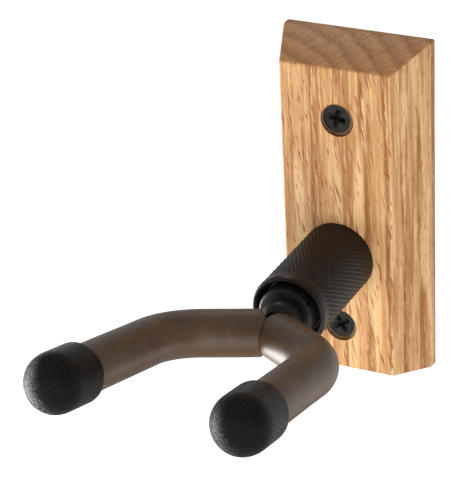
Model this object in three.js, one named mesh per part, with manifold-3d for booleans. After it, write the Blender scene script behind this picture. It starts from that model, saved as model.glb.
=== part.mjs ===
// Wall guitar hanger: a bevelled oak block, a knurled hub standing out of it, and a padded steel
// yoke that swivels in the hub so that both arms bear on the headstock of the instrument.
//
// Millimetres. The origin is the middle of the block's back face, which lies on the wall.
// +Z is up, the hanger stands out of the wall along -Y, and X is across it. The hub's axis runs
// along Y, HUB_Z above the origin, and the yoke swivels about it.

import * as THREE from 'three';
import { mergeVertices } from 'three/addons/utils/BufferGeometryUtils.js';
import Module from 'manifold-3d';

const wasm = await Module();
wasm.setup();

// ---- driving dimensions -------------------------------------------------------------------

// Oak block, 1 inch thick, bevelled on all four sides down to a thin square band at the wall
const BLOCK_WIDTH = 57.4;
const BLOCK_HEIGHT = 133;
const BLOCK_DEPTH = 24.6;
const BLOCK_BAND = 3.8;
const SIDE_BEVEL = 7.4;
const END_BEVEL = 5.8;
const ARRIS = 0.8;

// Hub
const HUB_Z = -14.4;
const HUB_RADIUS = 13.9;
const HUB_LENGTH = 45.2;
const HUB_LIP = 0.9;
const MOUTH_RADIUS = 11.7;
const MOUTH_CHAMFER = 1.1;
const MOUTH_DEPTH = 8.5;
const SPIGOT_RADIUS = 8.5;
const SPIGOT_LENGTH = 4;
const BUSH_RADIUS = 7;
const BUSH_LENGTH = 12;
const BUSH_WALL_GAP = 0.05;
const FLANGE_RADIUS = 9.5;
const FLANGE_THICKNESS = 1.5;

// Swivel boss and the stud through the hub
const BOSS_RADIUS = 10.1;
const BOSS_EDGE = 1.2;
const BOSS_PROJECTION = 2.6;
const BOSS_WEB = 1;
const STUD_END_GAP = 0.3;
const NECK_RADIUS = 7.2;
const NECK_LENGTH = 4.2;
const NECK_TIP_RADIUS = 5;
const NECK_TIP_LENGTH = 3;
const STUD_RADIUS = 4;
const STUD_GAP = 0.1;
const THRUST_WASHER = { radius: 11, thickness: 1 };
const SLIDING_GAP = 0.05;
const SET_SCREW_RADIUS = 1;
const SET_SCREW_SOCKET = { radius: 0.5, depth: 1.2 };
const SET_SCREW_SUNK = 0.4;
const SET_SCREW_ANGLE = THREE.MathUtils.degToRad(55);

// Hub seat, and the stack in the pocket behind the block
const SEAT_CLEARANCE = 0.15;
const SEAT_END_GAP = 0.3;
const STUD_HOLE_RADIUS = 4.4;
const POCKET_RADIUS = 12;
const POCKET_DEPTH = 15;
const BLOCK_WASHER = { radius: 11.5, thickness: 2 };
const NUT_WASHER = { radius: 8.5, thickness: 1.6 };
const DISC_SPRING = { radius: 9, height: 1.2, thickness: 0.8 };
const WASHER_GAP = 0.2;
const NUT_ACROSS_FLATS = 13;
const NUT_HEIGHT = 7;
const NUT_COLLAR = 2.2;
const NUT_COLLAR_RADIUS = 6.1;
const NUT_CHAMFER = 0.7;
const LOCK_RING_RADIUS = 5.4;
const LOCK_RING_LIP = 0.3;
const STUD_SHOW = 1.2;

// Wall screws: number 12 countersunk wood screws in counterbored holes
const WALL_SCREWS = [
  { place: 'upper', height: 40.7, turn: THREE.MathUtils.degToRad(12) },
  { place: 'lower', height: -43.1, turn: THREE.MathUtils.degToRad(-32) },
];
const SCREW_HEAD_RADIUS = 5.5;
const SCREW_SHANK_RADIUS = 2.75;
const SCREW_LENGTH = 51;
const SCREW_POINT = 7;
const COUNTERBORE_RADIUS = 6.35;
const COUNTERBORE_DEPTH = 1;
const CLEARANCE_RADIUS = 3.1;
const COUNTERSINK_SLOPE = Math.tan(THREE.MathUtils.degToRad(41));
const CROSS_RECESS = { depth: 3, halfTop: 3.3, halfBottom: 1.2, thickness: 1.5 };
const HEAD_LAND = 0.4;
const HEAD_SEAT_GAP = 0.12;

// Yoke: both arms lie in one plane, tilted so that the tips stand higher than the middle
const YOKE_REACH = 82.3;
const YOKE_DROP = 1.2;
const YOKE_TILT = THREE.MathUtils.degToRad(14.4);
const ELBOW_SPREAD = 29.2;
const ELBOW_REACH = 24.2;
const TIP_SPREAD = 32.9;
const TIP_REACH = 93.2;
const ELBOW_BEND = 30;
const MIDDLE_BEND = 6;
const ROD_RADIUS = 4;
const ROD_GAP = 0.3;
const TUBE_RADIUS = 8.5;
const TUBE_START = 4;
const TUBE_GAP = 0.3;
const CAP_RADIUS = 10.4;
const CAP_RIM = 1.4;
const CAP_SKIRT = 13;
const CAP_DOME = 9.8;
const CAP_WALL = 4.5;
const CAP_GAP = 0.3;
const DOME_POWER = 2.35;
const DOME_STEPS = 9;

// How far a cutter runs past the face that it cuts
const OVERCUT = 1;

// Facets around a full turn
const ROUND = 36;
const SMALL_ROUND = 24;
const ROD_SIDES = 12;
const TUBE_SIDES = 16;

// Y of the faces along the hub's axis
const FACE_Y = -BLOCK_DEPTH;
const MOUTH_Y = FACE_Y - HUB_LENGTH;
const RECESS_Y = MOUTH_Y + MOUTH_DEPTH;
const FLANGE_Y = RECESS_Y - FLANGE_THICKNESS;
const BOSS_BACK_Y = FLANGE_Y - THRUST_WASHER.thickness - 2 * SLIDING_GAP;
const BOSS_FRONT_Y = MOUTH_Y - BOSS_PROJECTION;
const NECK_FRONT_Y = BOSS_FRONT_Y - NECK_LENGTH;
const NECK_TIP_Y = NECK_FRONT_Y - NECK_TIP_LENGTH;
const POCKET_FLOOR_Y = -POCKET_DEPTH;

// ---- materials ----------------------------------------------------------------------------

function finish(color, roughness, metalness) {
  return new THREE.MeshStandardMaterial({ color, roughness, metalness });
}

const OAK = finish(0xd8a878, 0.6, 0);
const HUB_BLACK = finish(0x2c2724, 0.45, 0.4);
const GLOSS_BLACK = finish(0x151515, 0.2, 0.5);
const SCREW_BLACK = finish(0x1c1d1f, 0.4, 0.6);
const BRONZE = finish(0x9a7446, 0.4, 0.9);
const ZINC = finish(0xb9bcc0, 0.35, 0.95);
const NYLON = finish(0xe6e3da, 0.5, 0);
const TUBE_BROWN = finish(0x6b5648, 0.5, 0);
const CAP_BLACK = finish(0x1b1b1b, 0.8, 0);

// ---- solids -------------------------------------------------------------------------------

function toSolid(geometry) {
  const bare = geometry.clone();
  bare.deleteAttribute('normal');
  bare.deleteAttribute('uv');
  const merged = mergeVertices(bare, 1e-4);
  const mesh = new wasm.Mesh({
    numProp: 3,
    vertProperties: new Float32Array(merged.attributes.position.array),
    triVerts: new Uint32Array(merged.index.array),
  });
  return new wasm.Manifold(mesh);
}

function toGeometry(solid) {
  const { vertProperties, triVerts } = solid.getMesh();
  const geometry = new THREE.BufferGeometry();
  geometry.setAttribute('position', new THREE.BufferAttribute(vertProperties, 3));
  geometry.setIndex(new THREE.BufferAttribute(triVerts, 1));
  geometry.computeVertexNormals();
  return geometry;
}

// Solid or ring turned about the Y axis; each point is [radius, y]
function turned(points, segments = ROUND) {
  return new THREE.LatheGeometry(points.map(([r, y]) => new THREE.Vector2(r, y)), segments);
}

// Rectangular ring between two radii, from y = front to y = back
function ring(inner, outer, front, back) {
  return turned([
    [inner, front],
    [outer, front],
    [outer, back],
    [inner, back],
    [inner, front],
  ]);
}

// Plain round bar on the Y axis
function bar(radius, front, back) {
  const geometry = new THREE.CylinderGeometry(radius, radius, back - front, ROUND);
  return geometry.translate(0, (front + back) / 2, 0);
}

// Quarter circle of [radius, y] points about a centre, from one angle to another in degrees
function arcPoints(radius, y, size, from, to, steps) {
  return Array.from({ length: steps + 1 }, (_, i) => {
    const angle = THREE.MathUtils.degToRad(from + ((to - from) * i) / steps);
    return [radius + size * Math.cos(angle), y + size * Math.sin(angle)];
  });
}

// Closed outline with its corners eased by a small radius
function easedOutline(corners, radius) {
  const shape = new THREE.Shape();
  corners.forEach((corner, i) => {
    const before = corners.at(i - 1);
    const after = corners[(i + 1) % corners.length];
    const enter = before.clone().sub(corner).setLength(radius).add(corner);
    const leave = after.clone().sub(corner).setLength(radius).add(corner);
    if (i === 0) shape.moveTo(enter.x, enter.y);
    else shape.lineTo(enter.x, enter.y);
    shape.quadraticCurveTo(corner.x, corner.y, leave.x, leave.y);
  });
  shape.closePath();
  return shape;
}

function straightExtrusion(shape, depth, curveSegments) {
  return new THREE.ExtrudeGeometry(shape, { depth, curveSegments, bevelEnabled: false });
}

// The block's outline seen along one edge: a square band at the wall, then the two bevels
function blockOutline(size, bevel) {
  const half = size / 2;
  const corners = [
    new THREE.Vector2(-half, 0),
    new THREE.Vector2(-half, -BLOCK_BAND),
    new THREE.Vector2(bevel - half, -BLOCK_DEPTH),
    new THREE.Vector2(half - bevel, -BLOCK_DEPTH),
    new THREE.Vector2(half, -BLOCK_BAND),
    new THREE.Vector2(half, 0),
  ];
  return easedOutline(corners, ARRIS);
}

// ---- wall block ---------------------------------------------------------------------------

// Screw hole turned about Y: counterbore, countersink, then a clearance hole to the back
function screwHoleCutter() {
  const bottom = FACE_Y + COUNTERBORE_DEPTH;
  const sinkDepth = (COUNTERBORE_RADIUS - CLEARANCE_RADIUS) / COUNTERSINK_SLOPE;
  return turned([
    [0, FACE_Y - OVERCUT],
    [COUNTERBORE_RADIUS, FACE_Y - OVERCUT],
    [COUNTERBORE_RADIUS, bottom],
    [CLEARANCE_RADIUS, bottom + sinkDepth],
    [CLEARANCE_RADIUS, OVERCUT],
    [0, OVERCUT],
  ]);
}

// Hub seat, stud hole and nut pocket in one cutter on the hub's axis
function hubHoleCutter() {
  const seat = SPIGOT_RADIUS + SEAT_CLEARANCE;
  const seatFloorY = FACE_Y + SPIGOT_LENGTH + SEAT_END_GAP;
  return turned([
    [0, FACE_Y - OVERCUT],
    [seat, FACE_Y - OVERCUT],
    [seat, seatFloorY],
    [STUD_HOLE_RADIUS, seatFloorY],
    [STUD_HOLE_RADIUS, POCKET_FLOOR_Y],
    [POCKET_RADIUS, POCKET_FLOOR_Y],
    [POCKET_RADIUS, OVERCUT],
    [0, OVERCUT],
  ]);
}

function wallBlockGeometry() {
  const plan = straightExtrusion(blockOutline(BLOCK_WIDTH, SIDE_BEVEL), BLOCK_HEIGHT, 3);
  plan.translate(0, 0, -BLOCK_HEIGHT / 2);
  const side = straightExtrusion(blockOutline(BLOCK_HEIGHT, END_BEVEL), BLOCK_WIDTH, 3);
  side.translate(0, 0, -BLOCK_WIDTH / 2);
  side.rotateY(-Math.PI / 2);
  let block = toSolid(plan).intersect(toSolid(side));
  for (const { height } of WALL_SCREWS) {
    block = block.subtract(toSolid(screwHoleCutter().translate(0, 0, height)));
  }
  block = block.subtract(toSolid(hubHoleCutter().translate(0, 0, HUB_Z)));
  return toGeometry(block);
}

// ---- wall screws --------------------------------------------------------------------------

const HEAD_RIM_Y = FACE_Y + COUNTERBORE_DEPTH + (COUNTERBORE_RADIUS - SCREW_HEAD_RADIUS) / COUNTERSINK_SLOPE;
const HEAD_TOP_Y = HEAD_RIM_Y - HEAD_SEAT_GAP - HEAD_LAND;

// Cross recess: two tapered wings at right angles, cut from the top of the head
function crossRecess() {
  const { depth, halfTop, halfBottom, thickness } = CROSS_RECESS;
  const wing = new THREE.Shape([
    new THREE.Vector2(-halfTop, HEAD_TOP_Y - OVERCUT),
    new THREE.Vector2(halfTop, HEAD_TOP_Y - OVERCUT),
    new THREE.Vector2(halfTop, HEAD_TOP_Y),
    new THREE.Vector2(halfBottom, HEAD_TOP_Y + depth),
    new THREE.Vector2(-halfBottom, HEAD_TOP_Y + depth),
    new THREE.Vector2(-halfTop, HEAD_TOP_Y),
  ]);
  const flat = straightExtrusion(wing, thickness, 1).translate(0, 0, -thickness / 2);
  const upright = flat.clone().rotateY(Math.PI / 2);
  return toSolid(flat).add(toSolid(upright));
}

function wallScrewGeometry() {
  const coneEnd = HEAD_TOP_Y + HEAD_LAND + (SCREW_HEAD_RADIUS - SCREW_SHANK_RADIUS) / COUNTERSINK_SLOPE;
  const tip = HEAD_TOP_Y + SCREW_LENGTH;
  const body = turned([
    [0, HEAD_TOP_Y],
    [SCREW_HEAD_RADIUS, HEAD_TOP_Y],
    [SCREW_HEAD_RADIUS, HEAD_TOP_Y + HEAD_LAND],
    [SCREW_SHANK_RADIUS, coneEnd],
    [SCREW_SHANK_RADIUS, tip - SCREW_POINT],
    [0, tip],
  ], SMALL_ROUND);
  return toGeometry(toSolid(body).subtract(crossRecess()));
}

// ---- hub ----------------------------------------------------------------------------------

function hubSleeveGeometry() {
  const lip = arcPoints(HUB_RADIUS - HUB_LIP, MOUTH_Y + HUB_LIP, HUB_LIP, -90, 0, 5);
  return turned([
    [BUSH_RADIUS, RECESS_Y],
    [MOUTH_RADIUS, RECESS_Y],
    [MOUTH_RADIUS, MOUTH_Y + MOUTH_CHAMFER],
    [MOUTH_RADIUS + MOUTH_CHAMFER, MOUTH_Y],
    ...lip.slice(1),
    [HUB_RADIUS, FACE_Y],
    [SPIGOT_RADIUS, FACE_Y],
    [SPIGOT_RADIUS, FACE_Y + SPIGOT_LENGTH],
    [BUSH_RADIUS, FACE_Y + SPIGOT_LENGTH],
    [BUSH_RADIUS, RECESS_Y],
  ]);
}

// Flanged plain bearing at the mouth of the hub
function frontBushGeometry() {
  const bore = STUD_RADIUS + STUD_GAP;
  const barrel = BUSH_RADIUS - BUSH_WALL_GAP;
  return turned([
    [bore, FLANGE_Y],
    [FLANGE_RADIUS, FLANGE_Y],
    [FLANGE_RADIUS, RECESS_Y],
    [barrel, RECESS_Y],
    [barrel, RECESS_Y + BUSH_LENGTH],
    [bore, RECESS_Y + BUSH_LENGTH],
    [bore, FLANGE_Y],
  ]);
}

function rearBushGeometry() {
  const back = FACE_Y + SPIGOT_LENGTH;
  return ring(STUD_RADIUS + STUD_GAP, BUSH_RADIUS - BUSH_WALL_GAP, back - BUSH_LENGTH, back);
}

// ---- swivel parts on the hub's axis ----------------------------------------------------------

const SET_SCREW_Y = MOUTH_Y - 0.2 * BOSS_PROJECTION;
const STUD_FRONT_Y = BOSS_FRONT_Y + BOSS_WEB + STUD_END_GAP;
const STACK_HEIGHT = BLOCK_WASHER.thickness + SLIDING_GAP + 2 * DISC_SPRING.height + NUT_WASHER.thickness
  + NUT_HEIGHT;
const STUD_BACK_Y = POCKET_FLOOR_Y + STACK_HEIGHT + STUD_SHOW;

// Short bar lying radially through the rim of the boss at the set screw's angle
function radialBar(radius, from, to) {
  const geometry = new THREE.CylinderGeometry(radius, radius, to - from, ROD_SIDES);
  geometry.translate(0, (from + to) / 2, 0);
  geometry.rotateX(Math.PI / 2);
  geometry.rotateY(SET_SCREW_ANGLE);
  return geometry.translate(0, SET_SCREW_Y, 0);
}

function swivelBossGeometry() {
  const bore = STUD_RADIUS + STUD_GAP;
  const edge = arcPoints(BOSS_RADIUS - BOSS_EDGE, BOSS_FRONT_Y + BOSS_EDGE, BOSS_EDGE, -90, 0, 4);
  const body = turned([
    [0, NECK_TIP_Y],
    [NECK_TIP_RADIUS, NECK_TIP_Y],
    [NECK_RADIUS, NECK_FRONT_Y],
    [NECK_RADIUS, BOSS_FRONT_Y],
    ...edge,
    [BOSS_RADIUS, BOSS_BACK_Y],
    [bore, BOSS_BACK_Y],
    [bore, BOSS_FRONT_Y + BOSS_WEB],
    [0, BOSS_FRONT_Y + BOSS_WEB],
  ]);
  const saddle = yokeRodGeometry(ROD_RADIUS + ROD_GAP);
  saddle.rotateX(-YOKE_TILT);
  saddle.translate(0, -YOKE_REACH, -YOKE_DROP);
  const tapped = radialBar(SET_SCREW_RADIUS + STUD_GAP, 0, BOSS_RADIUS + OVERCUT);
  return toGeometry(toSolid(body).subtract(toSolid(saddle)).subtract(toSolid(tapped)));
}

function setScrewGeometry() {
  const top = BOSS_RADIUS - SET_SCREW_SUNK;
  const body = radialBar(SET_SCREW_RADIUS, STUD_RADIUS + STUD_END_GAP, top);
  const socket = radialBar(SET_SCREW_SOCKET.radius, top - SET_SCREW_SOCKET.depth, top + OVERCUT);
  return toGeometry(toSolid(body).subtract(toSolid(socket)));
}

// Plain flat washer on the stud
function washer({ radius, thickness }, front) {
  return ring(STUD_RADIUS + WASHER_GAP, radius, front, front + thickness);
}

// Coned washer. Its outer rim is the front end or the back end of the height that it takes up.
function discSpringGeometry(front, rimAtFront) {
  const { radius, height, thickness } = DISC_SPRING;
  const bore = STUD_RADIUS + WASHER_GAP;
  const rise = height - thickness;
  const rimY = rimAtFront ? front : front + rise;
  const boreY = rimAtFront ? front + rise : front;
  return turned([
    [bore, boreY],
    [radius, rimY],
    [radius, rimY + thickness],
    [bore, boreY + thickness],
    [bore, boreY],
  ]);
}

// Hexagon nut with a round collar that holds the nylon locking ring
function lockNutGeometry(front) {
  const corner = NUT_ACROSS_FLATS / Math.sqrt(3);
  const back = front + NUT_HEIGHT;
  const collarFront = back - NUT_COLLAR;
  const hex = new THREE.CylinderGeometry(corner, corner, collarFront - front, 6);
  hex.translate(0, (front + collarFront) / 2, 0);
  const chamfer = turned([
    [0, front],
    [corner - NUT_CHAMFER, front],
    [corner, front + NUT_CHAMFER / 2],
    [corner, collarFront - NUT_CHAMFER],
    [NUT_COLLAR_RADIUS, collarFront],
    [0, collarFront],
  ]);
  const collar = bar(NUT_COLLAR_RADIUS, collarFront - STUD_GAP, back);
  const bore = bar(STUD_RADIUS + STUD_GAP, front - OVERCUT, back + OVERCUT);
  const groove = bar(LOCK_RING_RADIUS, collarFront + LOCK_RING_LIP, back - LOCK_RING_LIP);
  const mouth = bar(LOCK_RING_RADIUS - LOCK_RING_LIP, collarFront, back + OVERCUT);
  const body = toSolid(hex).intersect(toSolid(chamfer)).add(toSolid(collar));
  return toGeometry(body.subtract(toSolid(bore)).subtract(toSolid(groove)).subtract(toSolid(mouth)));
}

function lockRingGeometry(front) {
  const back = front + NUT_HEIGHT - LOCK_RING_LIP - SLIDING_GAP;
  const start = back - NUT_COLLAR + 2 * (LOCK_RING_LIP + SLIDING_GAP);
  return ring(STUD_RADIUS + SLIDING_GAP, LOCK_RING_RADIUS - SLIDING_GAP, start, back);
}

// ---- yoke ---------------------------------------------------------------------------------

// Straight lines through the points, with each corner rounded by a tangent arc of its own radius
function filletedPath(points, radii) {
  const path = new THREE.CurvePath();
  let from = points[0];
  for (let i = 1; i < points.length - 1; i += 1) {
    const towardsLast = points[i - 1].clone().sub(points[i]).normalize();
    const towardsNext = points[i + 1].clone().sub(points[i]).normalize();
    const half = towardsLast.angleTo(towardsNext) / 2;
    const reach = radii[i - 1] / Math.tan(half);
    const enter = points[i].clone().addScaledVector(towardsLast, reach);
    const leave = points[i].clone().addScaledVector(towardsNext, reach);
    const inward = towardsLast.clone().add(towardsNext).normalize();
    const centre = points[i].clone().addScaledVector(inward, radii[i - 1] / Math.sin(half));
    path.add(new THREE.LineCurve3(from, enter));
    path.add(new TangentArc(centre, enter, leave));
    from = leave;
  }
  path.add(new THREE.LineCurve3(from, points.at(-1)));
  return path;
}

// Circular arc about a centre, from one point to another in the yoke's plane
class TangentArc extends THREE.Curve {
  constructor(centre, from, to) {
    super();
    this.centre = centre;
    this.spoke = from.clone().sub(centre);
    const last = to.clone().sub(centre);
    this.turn = this.spoke.angleTo(last) * Math.sign(this.spoke.clone().cross(last).z);
  }

  getPoint(t, target = new THREE.Vector3()) {
    const axis = new THREE.Vector3(0, 0, 1);
    return target.copy(this.spoke).applyAxisAngle(axis, this.turn * t).add(this.centre);
  }
}

// Corners of the centre line on one side: side is -1 for the left arm and 1 for the right
function armPoints(side) {
  return {
    middle: new THREE.Vector3(0, 0, 0),
    elbow: new THREE.Vector3(side * ELBOW_SPREAD, -ELBOW_REACH, 0),
    tip: new THREE.Vector3(side * TIP_SPREAD, -TIP_REACH, 0),
  };
}

function circleShape(radius, hole = 0) {
  const shape = new THREE.Shape().absarc(0, 0, radius, 0, 2 * Math.PI);
  if (hole > 0) shape.holes.push(new THREE.Path().absarc(0, 0, hole, 0, 2 * Math.PI, true));
  return shape;
}

// Round section swept along a path. A circle gets two points for each curve segment.
function sweep(shape, path, steps, sides) {
  return new THREE.ExtrudeGeometry(shape, {
    extrudePath: path,
    steps,
    curveSegments: sides / 2,
    bevelEnabled: false,
  });
}

function yokeRodGeometry(radius) {
  const left = armPoints(-1);
  const right = armPoints(1);
  const path = filletedPath(
    [left.tip, left.elbow, left.middle, right.elbow, right.tip],
    [ELBOW_BEND, MIDDLE_BEND, ELBOW_BEND],
  );
  return sweep(circleShape(radius), path, 60, ROD_SIDES);
}

// Soft tube over one arm of the rod. The tubes are cut square and butt in the middle of the yoke.
function armTubeGeometry(side) {
  const { middle, elbow, tip } = armPoints(side);
  const start = elbow.clone().setLength(TUBE_START).add(middle);
  const path = filletedPath([start, elbow, tip], [ELBOW_BEND]);
  const tube = sweep(circleShape(TUBE_RADIUS, ROD_RADIUS + ROD_GAP), path, 24, TUBE_SIDES);
  const size = 4 * TUBE_RADIUS;
  const otherSide = new THREE.BoxGeometry(size, size, size);
  otherSide.translate((side * (TUBE_GAP - size)) / 2, 0, 0);
  return toGeometry(toSolid(tube).subtract(toSolid(otherSide)));
}

// Thick soft cap that slides over the end of one tube, with a rounded rim and a flattened dome
function endCapGeometry(side) {
  const dome = Array.from({ length: DOME_STEPS - 1 }, (_, i) => {
    const height = Math.sin(((i + 1) / DOME_STEPS) * (Math.PI / 2));
    const radius = (1 - height ** DOME_POWER) ** (1 / DOME_POWER);
    return [CAP_RADIUS * radius, CAP_DOME * height];
  });
  const rim = arcPoints(CAP_RADIUS - CAP_RIM, CAP_RIM - CAP_SKIRT, CAP_RIM, -90, 0, 3);
  const bore = TUBE_RADIUS + CAP_GAP;
  const floor = CAP_DOME - CAP_WALL;
  const cap = turned([
    [0, floor],
    [bore, floor],
    [bore, -CAP_SKIRT],
    ...rim,
    [CAP_RADIUS, 0],
    ...dome,
    [0, CAP_DOME],
  ], SMALL_ROUND);
  const { elbow, tip } = armPoints(side);
  const along = tip.clone().sub(elbow).normalize();
  const turn = new THREE.Quaternion().setFromUnitVectors(new THREE.Vector3(0, 1, 0), along);
  return cap.applyQuaternion(turn).translate(tip.x, tip.y, 0);
}

// ---- assembly -----------------------------------------------------------------------------

function part(name, geometry, material, parent) {
  const mesh = new THREE.Mesh(geometry, material);
  mesh.name = name;
  parent.add(mesh);
  return mesh;
}

const hanger = new THREE.Group();

part('wall_block', wallBlockGeometry(), OAK, hanger);
for (const { place, height, turn } of WALL_SCREWS) {
  const screw = part(`${place}_wall_screw`, wallScrewGeometry(), SCREW_BLACK, hanger);
  screw.position.z = height;
  screw.rotation.y = turn;
}

// Everything on the hub's axis
const hub = new THREE.Group();
hub.position.z = HUB_Z;
hanger.add(hub);

part('hub_sleeve', hubSleeveGeometry(), HUB_BLACK, hub);
part('front_bush', frontBushGeometry(), BRONZE, hub);
part('rear_bush', rearBushGeometry(), BRONZE, hub);

part('thrust_washer', washer(THRUST_WASHER, FLANGE_Y - SLIDING_GAP - THRUST_WASHER.thickness), NYLON, hub);
part('swivel_boss', swivelBossGeometry(), GLOSS_BLACK, hub);
part('boss_set_screw', setScrewGeometry(), SCREW_BLACK, hub);
part('pivot_stud', bar(STUD_RADIUS, STUD_FRONT_Y, STUD_BACK_Y), ZINC, hub);

// Friction stack in the pocket, from its floor towards the wall
let stackY = POCKET_FLOOR_Y;
part('block_washer', washer(BLOCK_WASHER, stackY), ZINC, hub);
stackY += BLOCK_WASHER.thickness + SLIDING_GAP;
part('inner_disc_spring', discSpringGeometry(stackY, true), ZINC, hub);
stackY += DISC_SPRING.height;
part('outer_disc_spring', discSpringGeometry(stackY, false), ZINC, hub);
stackY += DISC_SPRING.height;
part('nut_washer', washer(NUT_WASHER, stackY), ZINC, hub);
stackY += NUT_WASHER.thickness;
part('lock_nut', lockNutGeometry(stackY), ZINC, hub);
part('lock_nut_insert', lockRingGeometry(stackY), NYLON, hub);

// Yoke plane, tilted about the middle of the rod
const yoke = new THREE.Group();
yoke.position.set(0, -YOKE_REACH, -YOKE_DROP);
yoke.rotation.x = -YOKE_TILT;
hub.add(yoke);

part('yoke_rod', yokeRodGeometry(ROD_RADIUS), GLOSS_BLACK, yoke);
for (const [name, side] of [['left', -1], ['right', 1]]) {
  part(`${name}_arm_tube`, armTubeGeometry(side), TUBE_BROWN, yoke);
  part(`${name}_end_cap`, endCapGeometry(side), CAP_BLACK, yoke);
}

export default hanger;
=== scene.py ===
# Looks of the wall guitar hanger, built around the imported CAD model: a bevelled oak block, a
# diamond-knurled hub, and a yoke in soft tubing that swivels in the hub.
#
# Shapes are worked out in millimetres in the model's own frame (+Z up, the wall along +Y, the hub's
# axis along Y), and become metres when a mesh is made.

import math
from math import cos, pi, radians, sin

import bmesh
import bpy
from mathutils import Matrix, Quaternion, Vector


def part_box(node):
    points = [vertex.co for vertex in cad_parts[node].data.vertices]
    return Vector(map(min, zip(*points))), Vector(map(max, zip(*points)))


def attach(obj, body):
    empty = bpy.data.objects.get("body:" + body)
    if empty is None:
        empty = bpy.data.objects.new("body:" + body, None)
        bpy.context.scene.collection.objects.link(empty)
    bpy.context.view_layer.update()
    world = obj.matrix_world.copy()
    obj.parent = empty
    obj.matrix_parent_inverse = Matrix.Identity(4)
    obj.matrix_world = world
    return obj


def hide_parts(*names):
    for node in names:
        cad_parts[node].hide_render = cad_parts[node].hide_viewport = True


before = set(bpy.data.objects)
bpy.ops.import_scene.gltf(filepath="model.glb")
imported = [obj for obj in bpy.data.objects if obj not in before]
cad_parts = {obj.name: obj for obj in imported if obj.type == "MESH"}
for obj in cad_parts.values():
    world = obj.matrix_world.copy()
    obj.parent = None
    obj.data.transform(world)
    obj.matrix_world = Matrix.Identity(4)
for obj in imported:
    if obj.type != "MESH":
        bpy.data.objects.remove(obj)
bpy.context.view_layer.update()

MM = 0.001
TURNED_SEGMENTS = 96
SMALL = 0.01
TINY = 0.001
ON_AXIS = 1e-6
OVERCUT = 2
SHORT_OVERCUT = 1


def new_object(name, data):
    made = bpy.data.objects.new(name, data)
    bpy.context.scene.collection.objects.link(made)
    return made


def box_mm(node):
    """Lowest and highest corner of a CAD node, in millimetres."""
    low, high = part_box(node)
    return low / MM, high / MM


# ---- places and sizes taken from the frame ----

BLOCK_LOW, BLOCK_HIGH = box_mm("wall_block")
HUB_LOW, HUB_HIGH = box_mm("hub_sleeve")
BOSS_LOW, BOSS_HIGH = box_mm("swivel_boss")
STUD_LOW, STUD_HIGH = box_mm("pivot_stud")
HUB_Z = (HUB_LOW.z + HUB_HIGH.z) / 2
HUB_RADIUS = (HUB_HIGH.z - HUB_LOW.z) / 2
STUD_RADIUS = (STUD_HIGH.z - STUD_LOW.z) / 2
SCREW_LOW, SCREW_HIGH = box_mm("upper_wall_screw")
SCREW_HEAD_RADIUS = (SCREW_HIGH.z - SCREW_LOW.z) / 2
FACE_Y = BLOCK_LOW.y
MOUTH_Y = HUB_LOW.y
HUB_AXIS = Vector((0, 0, HUB_Z))
TOWARDS_WALL = Vector((0, 1, 0))

# ---- driving dimensions that a box doesn't give ----

# Block.
BLOCK_BAND = 3.8
SIDE_BEVEL = 7.4
END_BEVEL = 5.8
BLOCK_ARRIS = 0.8
BLOCK_ARRIS_STEPS = 4

# Holes in the block.
COUNTERBORE_RADIUS = 6.1
COUNTERBORE_DEPTH = 1.0
UPPER_BORE_SHIFT = 0.8
LOWER_BORE_SHIFT = 0.3
HEAD_CLEARANCE = 0.15
CLEARANCE_RADIUS = 3.1
COUNTERSINK_SLOPE = math.tan(radians(41))
HOLE_EASE = 0.25
SEAT_RADIUS = 8.65
SEAT_DEPTH = 4.3
STUD_HOLE_RADIUS = 4.4
POCKET_RADIUS = 12.0
POCKET_DEPTH = 15.0

# Wall screws. The crest's spread is a share of the pitch.
SCREW_SHANK = 2.75
SCREW_NECK = SCREW_SHANK * 0.96
SCREW_ROOT = 1.95
SCREW_PITCH = 2.3
SCREW_POINT = 8.0
SCREW_POINT_POWER = 0.75
SCREW_THREAD_SHARE = 0.68
SCREW_CREST_SPREAD = 0.24
SCREW_LAND = 0.4
SCREW_EDGE = 0.3
SCREW_EDGE_SLOPE = 0.8
THREAD_SEGMENTS = 48
SAMPLES_PER_SCREW_TURN = 14
CONE_STEPS = 6
CROSS_TIP = 0.25
CROSS_TIP_SHARE = 0.6
CROSS_EASE_SHARE = 0.3

# Hub. The plain ridge is the value of the attribute ridge off the knurl.
MOUTH_RADIUS = 11.5
MOUTH_DEPTH = 8.5
BUSH_RADIUS = 7.0
SPIGOT_RADIUS = 8.5
SPIGOT_CHAMFER = 0.3
HUB_EDGE = 0.1
KNURL_COUNT = 50
KNURL_HELIX = radians(30)
KNURL_DEPTH = 0.42
KNURL_FLAT = 0.8
KNURL_END_BAND = 3.2
KNURL_RUN_IN = 2.5
PLAIN_RIDGE = 0.5
SAMPLES_PER_KNURL = 8
LIP_CREST = 13.1
LIP_FLARE = 3.4
LIP_ROUND = 1.6
LIP_TO_KNURL = 0.2
LIP_STEPS = 10

# Rings on the stud.
WASHER_CLEARANCE = 0.2
STUD_CLEARANCE = 0.1
INSERT_CLEARANCE = 0.02
PRESS_GAP = 0.05
BUSH_FLANGE = 1.5
RING_EASE = 0.25
SPRING_SHEET = 0.8
SPRING_EASE = 0.2

# Stud.
STUD_PITCH = 1.25
STUD_THREAD_DEPTH = 0.65
STUD_THREAD_LENGTH = 15
STUD_CREST_CUT = 1.15
STUD_NUT_CHAMFER = 0.7
STUD_BOSS_CHAMFER = 0.5
SAMPLES_PER_STUD_TURN = 10

# Lock nut.
NUT_COLLAR = 2.2
NUT_COLLAR_RADIUS = 6.1
NUT_COLLAR_TOP = 5.2
NUT_CHAMFER = 0.55
NUT_CHAMFER_REACH = 0.9
NUT_OVERSIZE = 0.1
NUT_EASE = 0.35
NUT_MOUTH_CLEARANCE = 0.6
INSERT_SEAT = 0.2
INSERT_SEAT_RADIUS = 5.1

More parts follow.
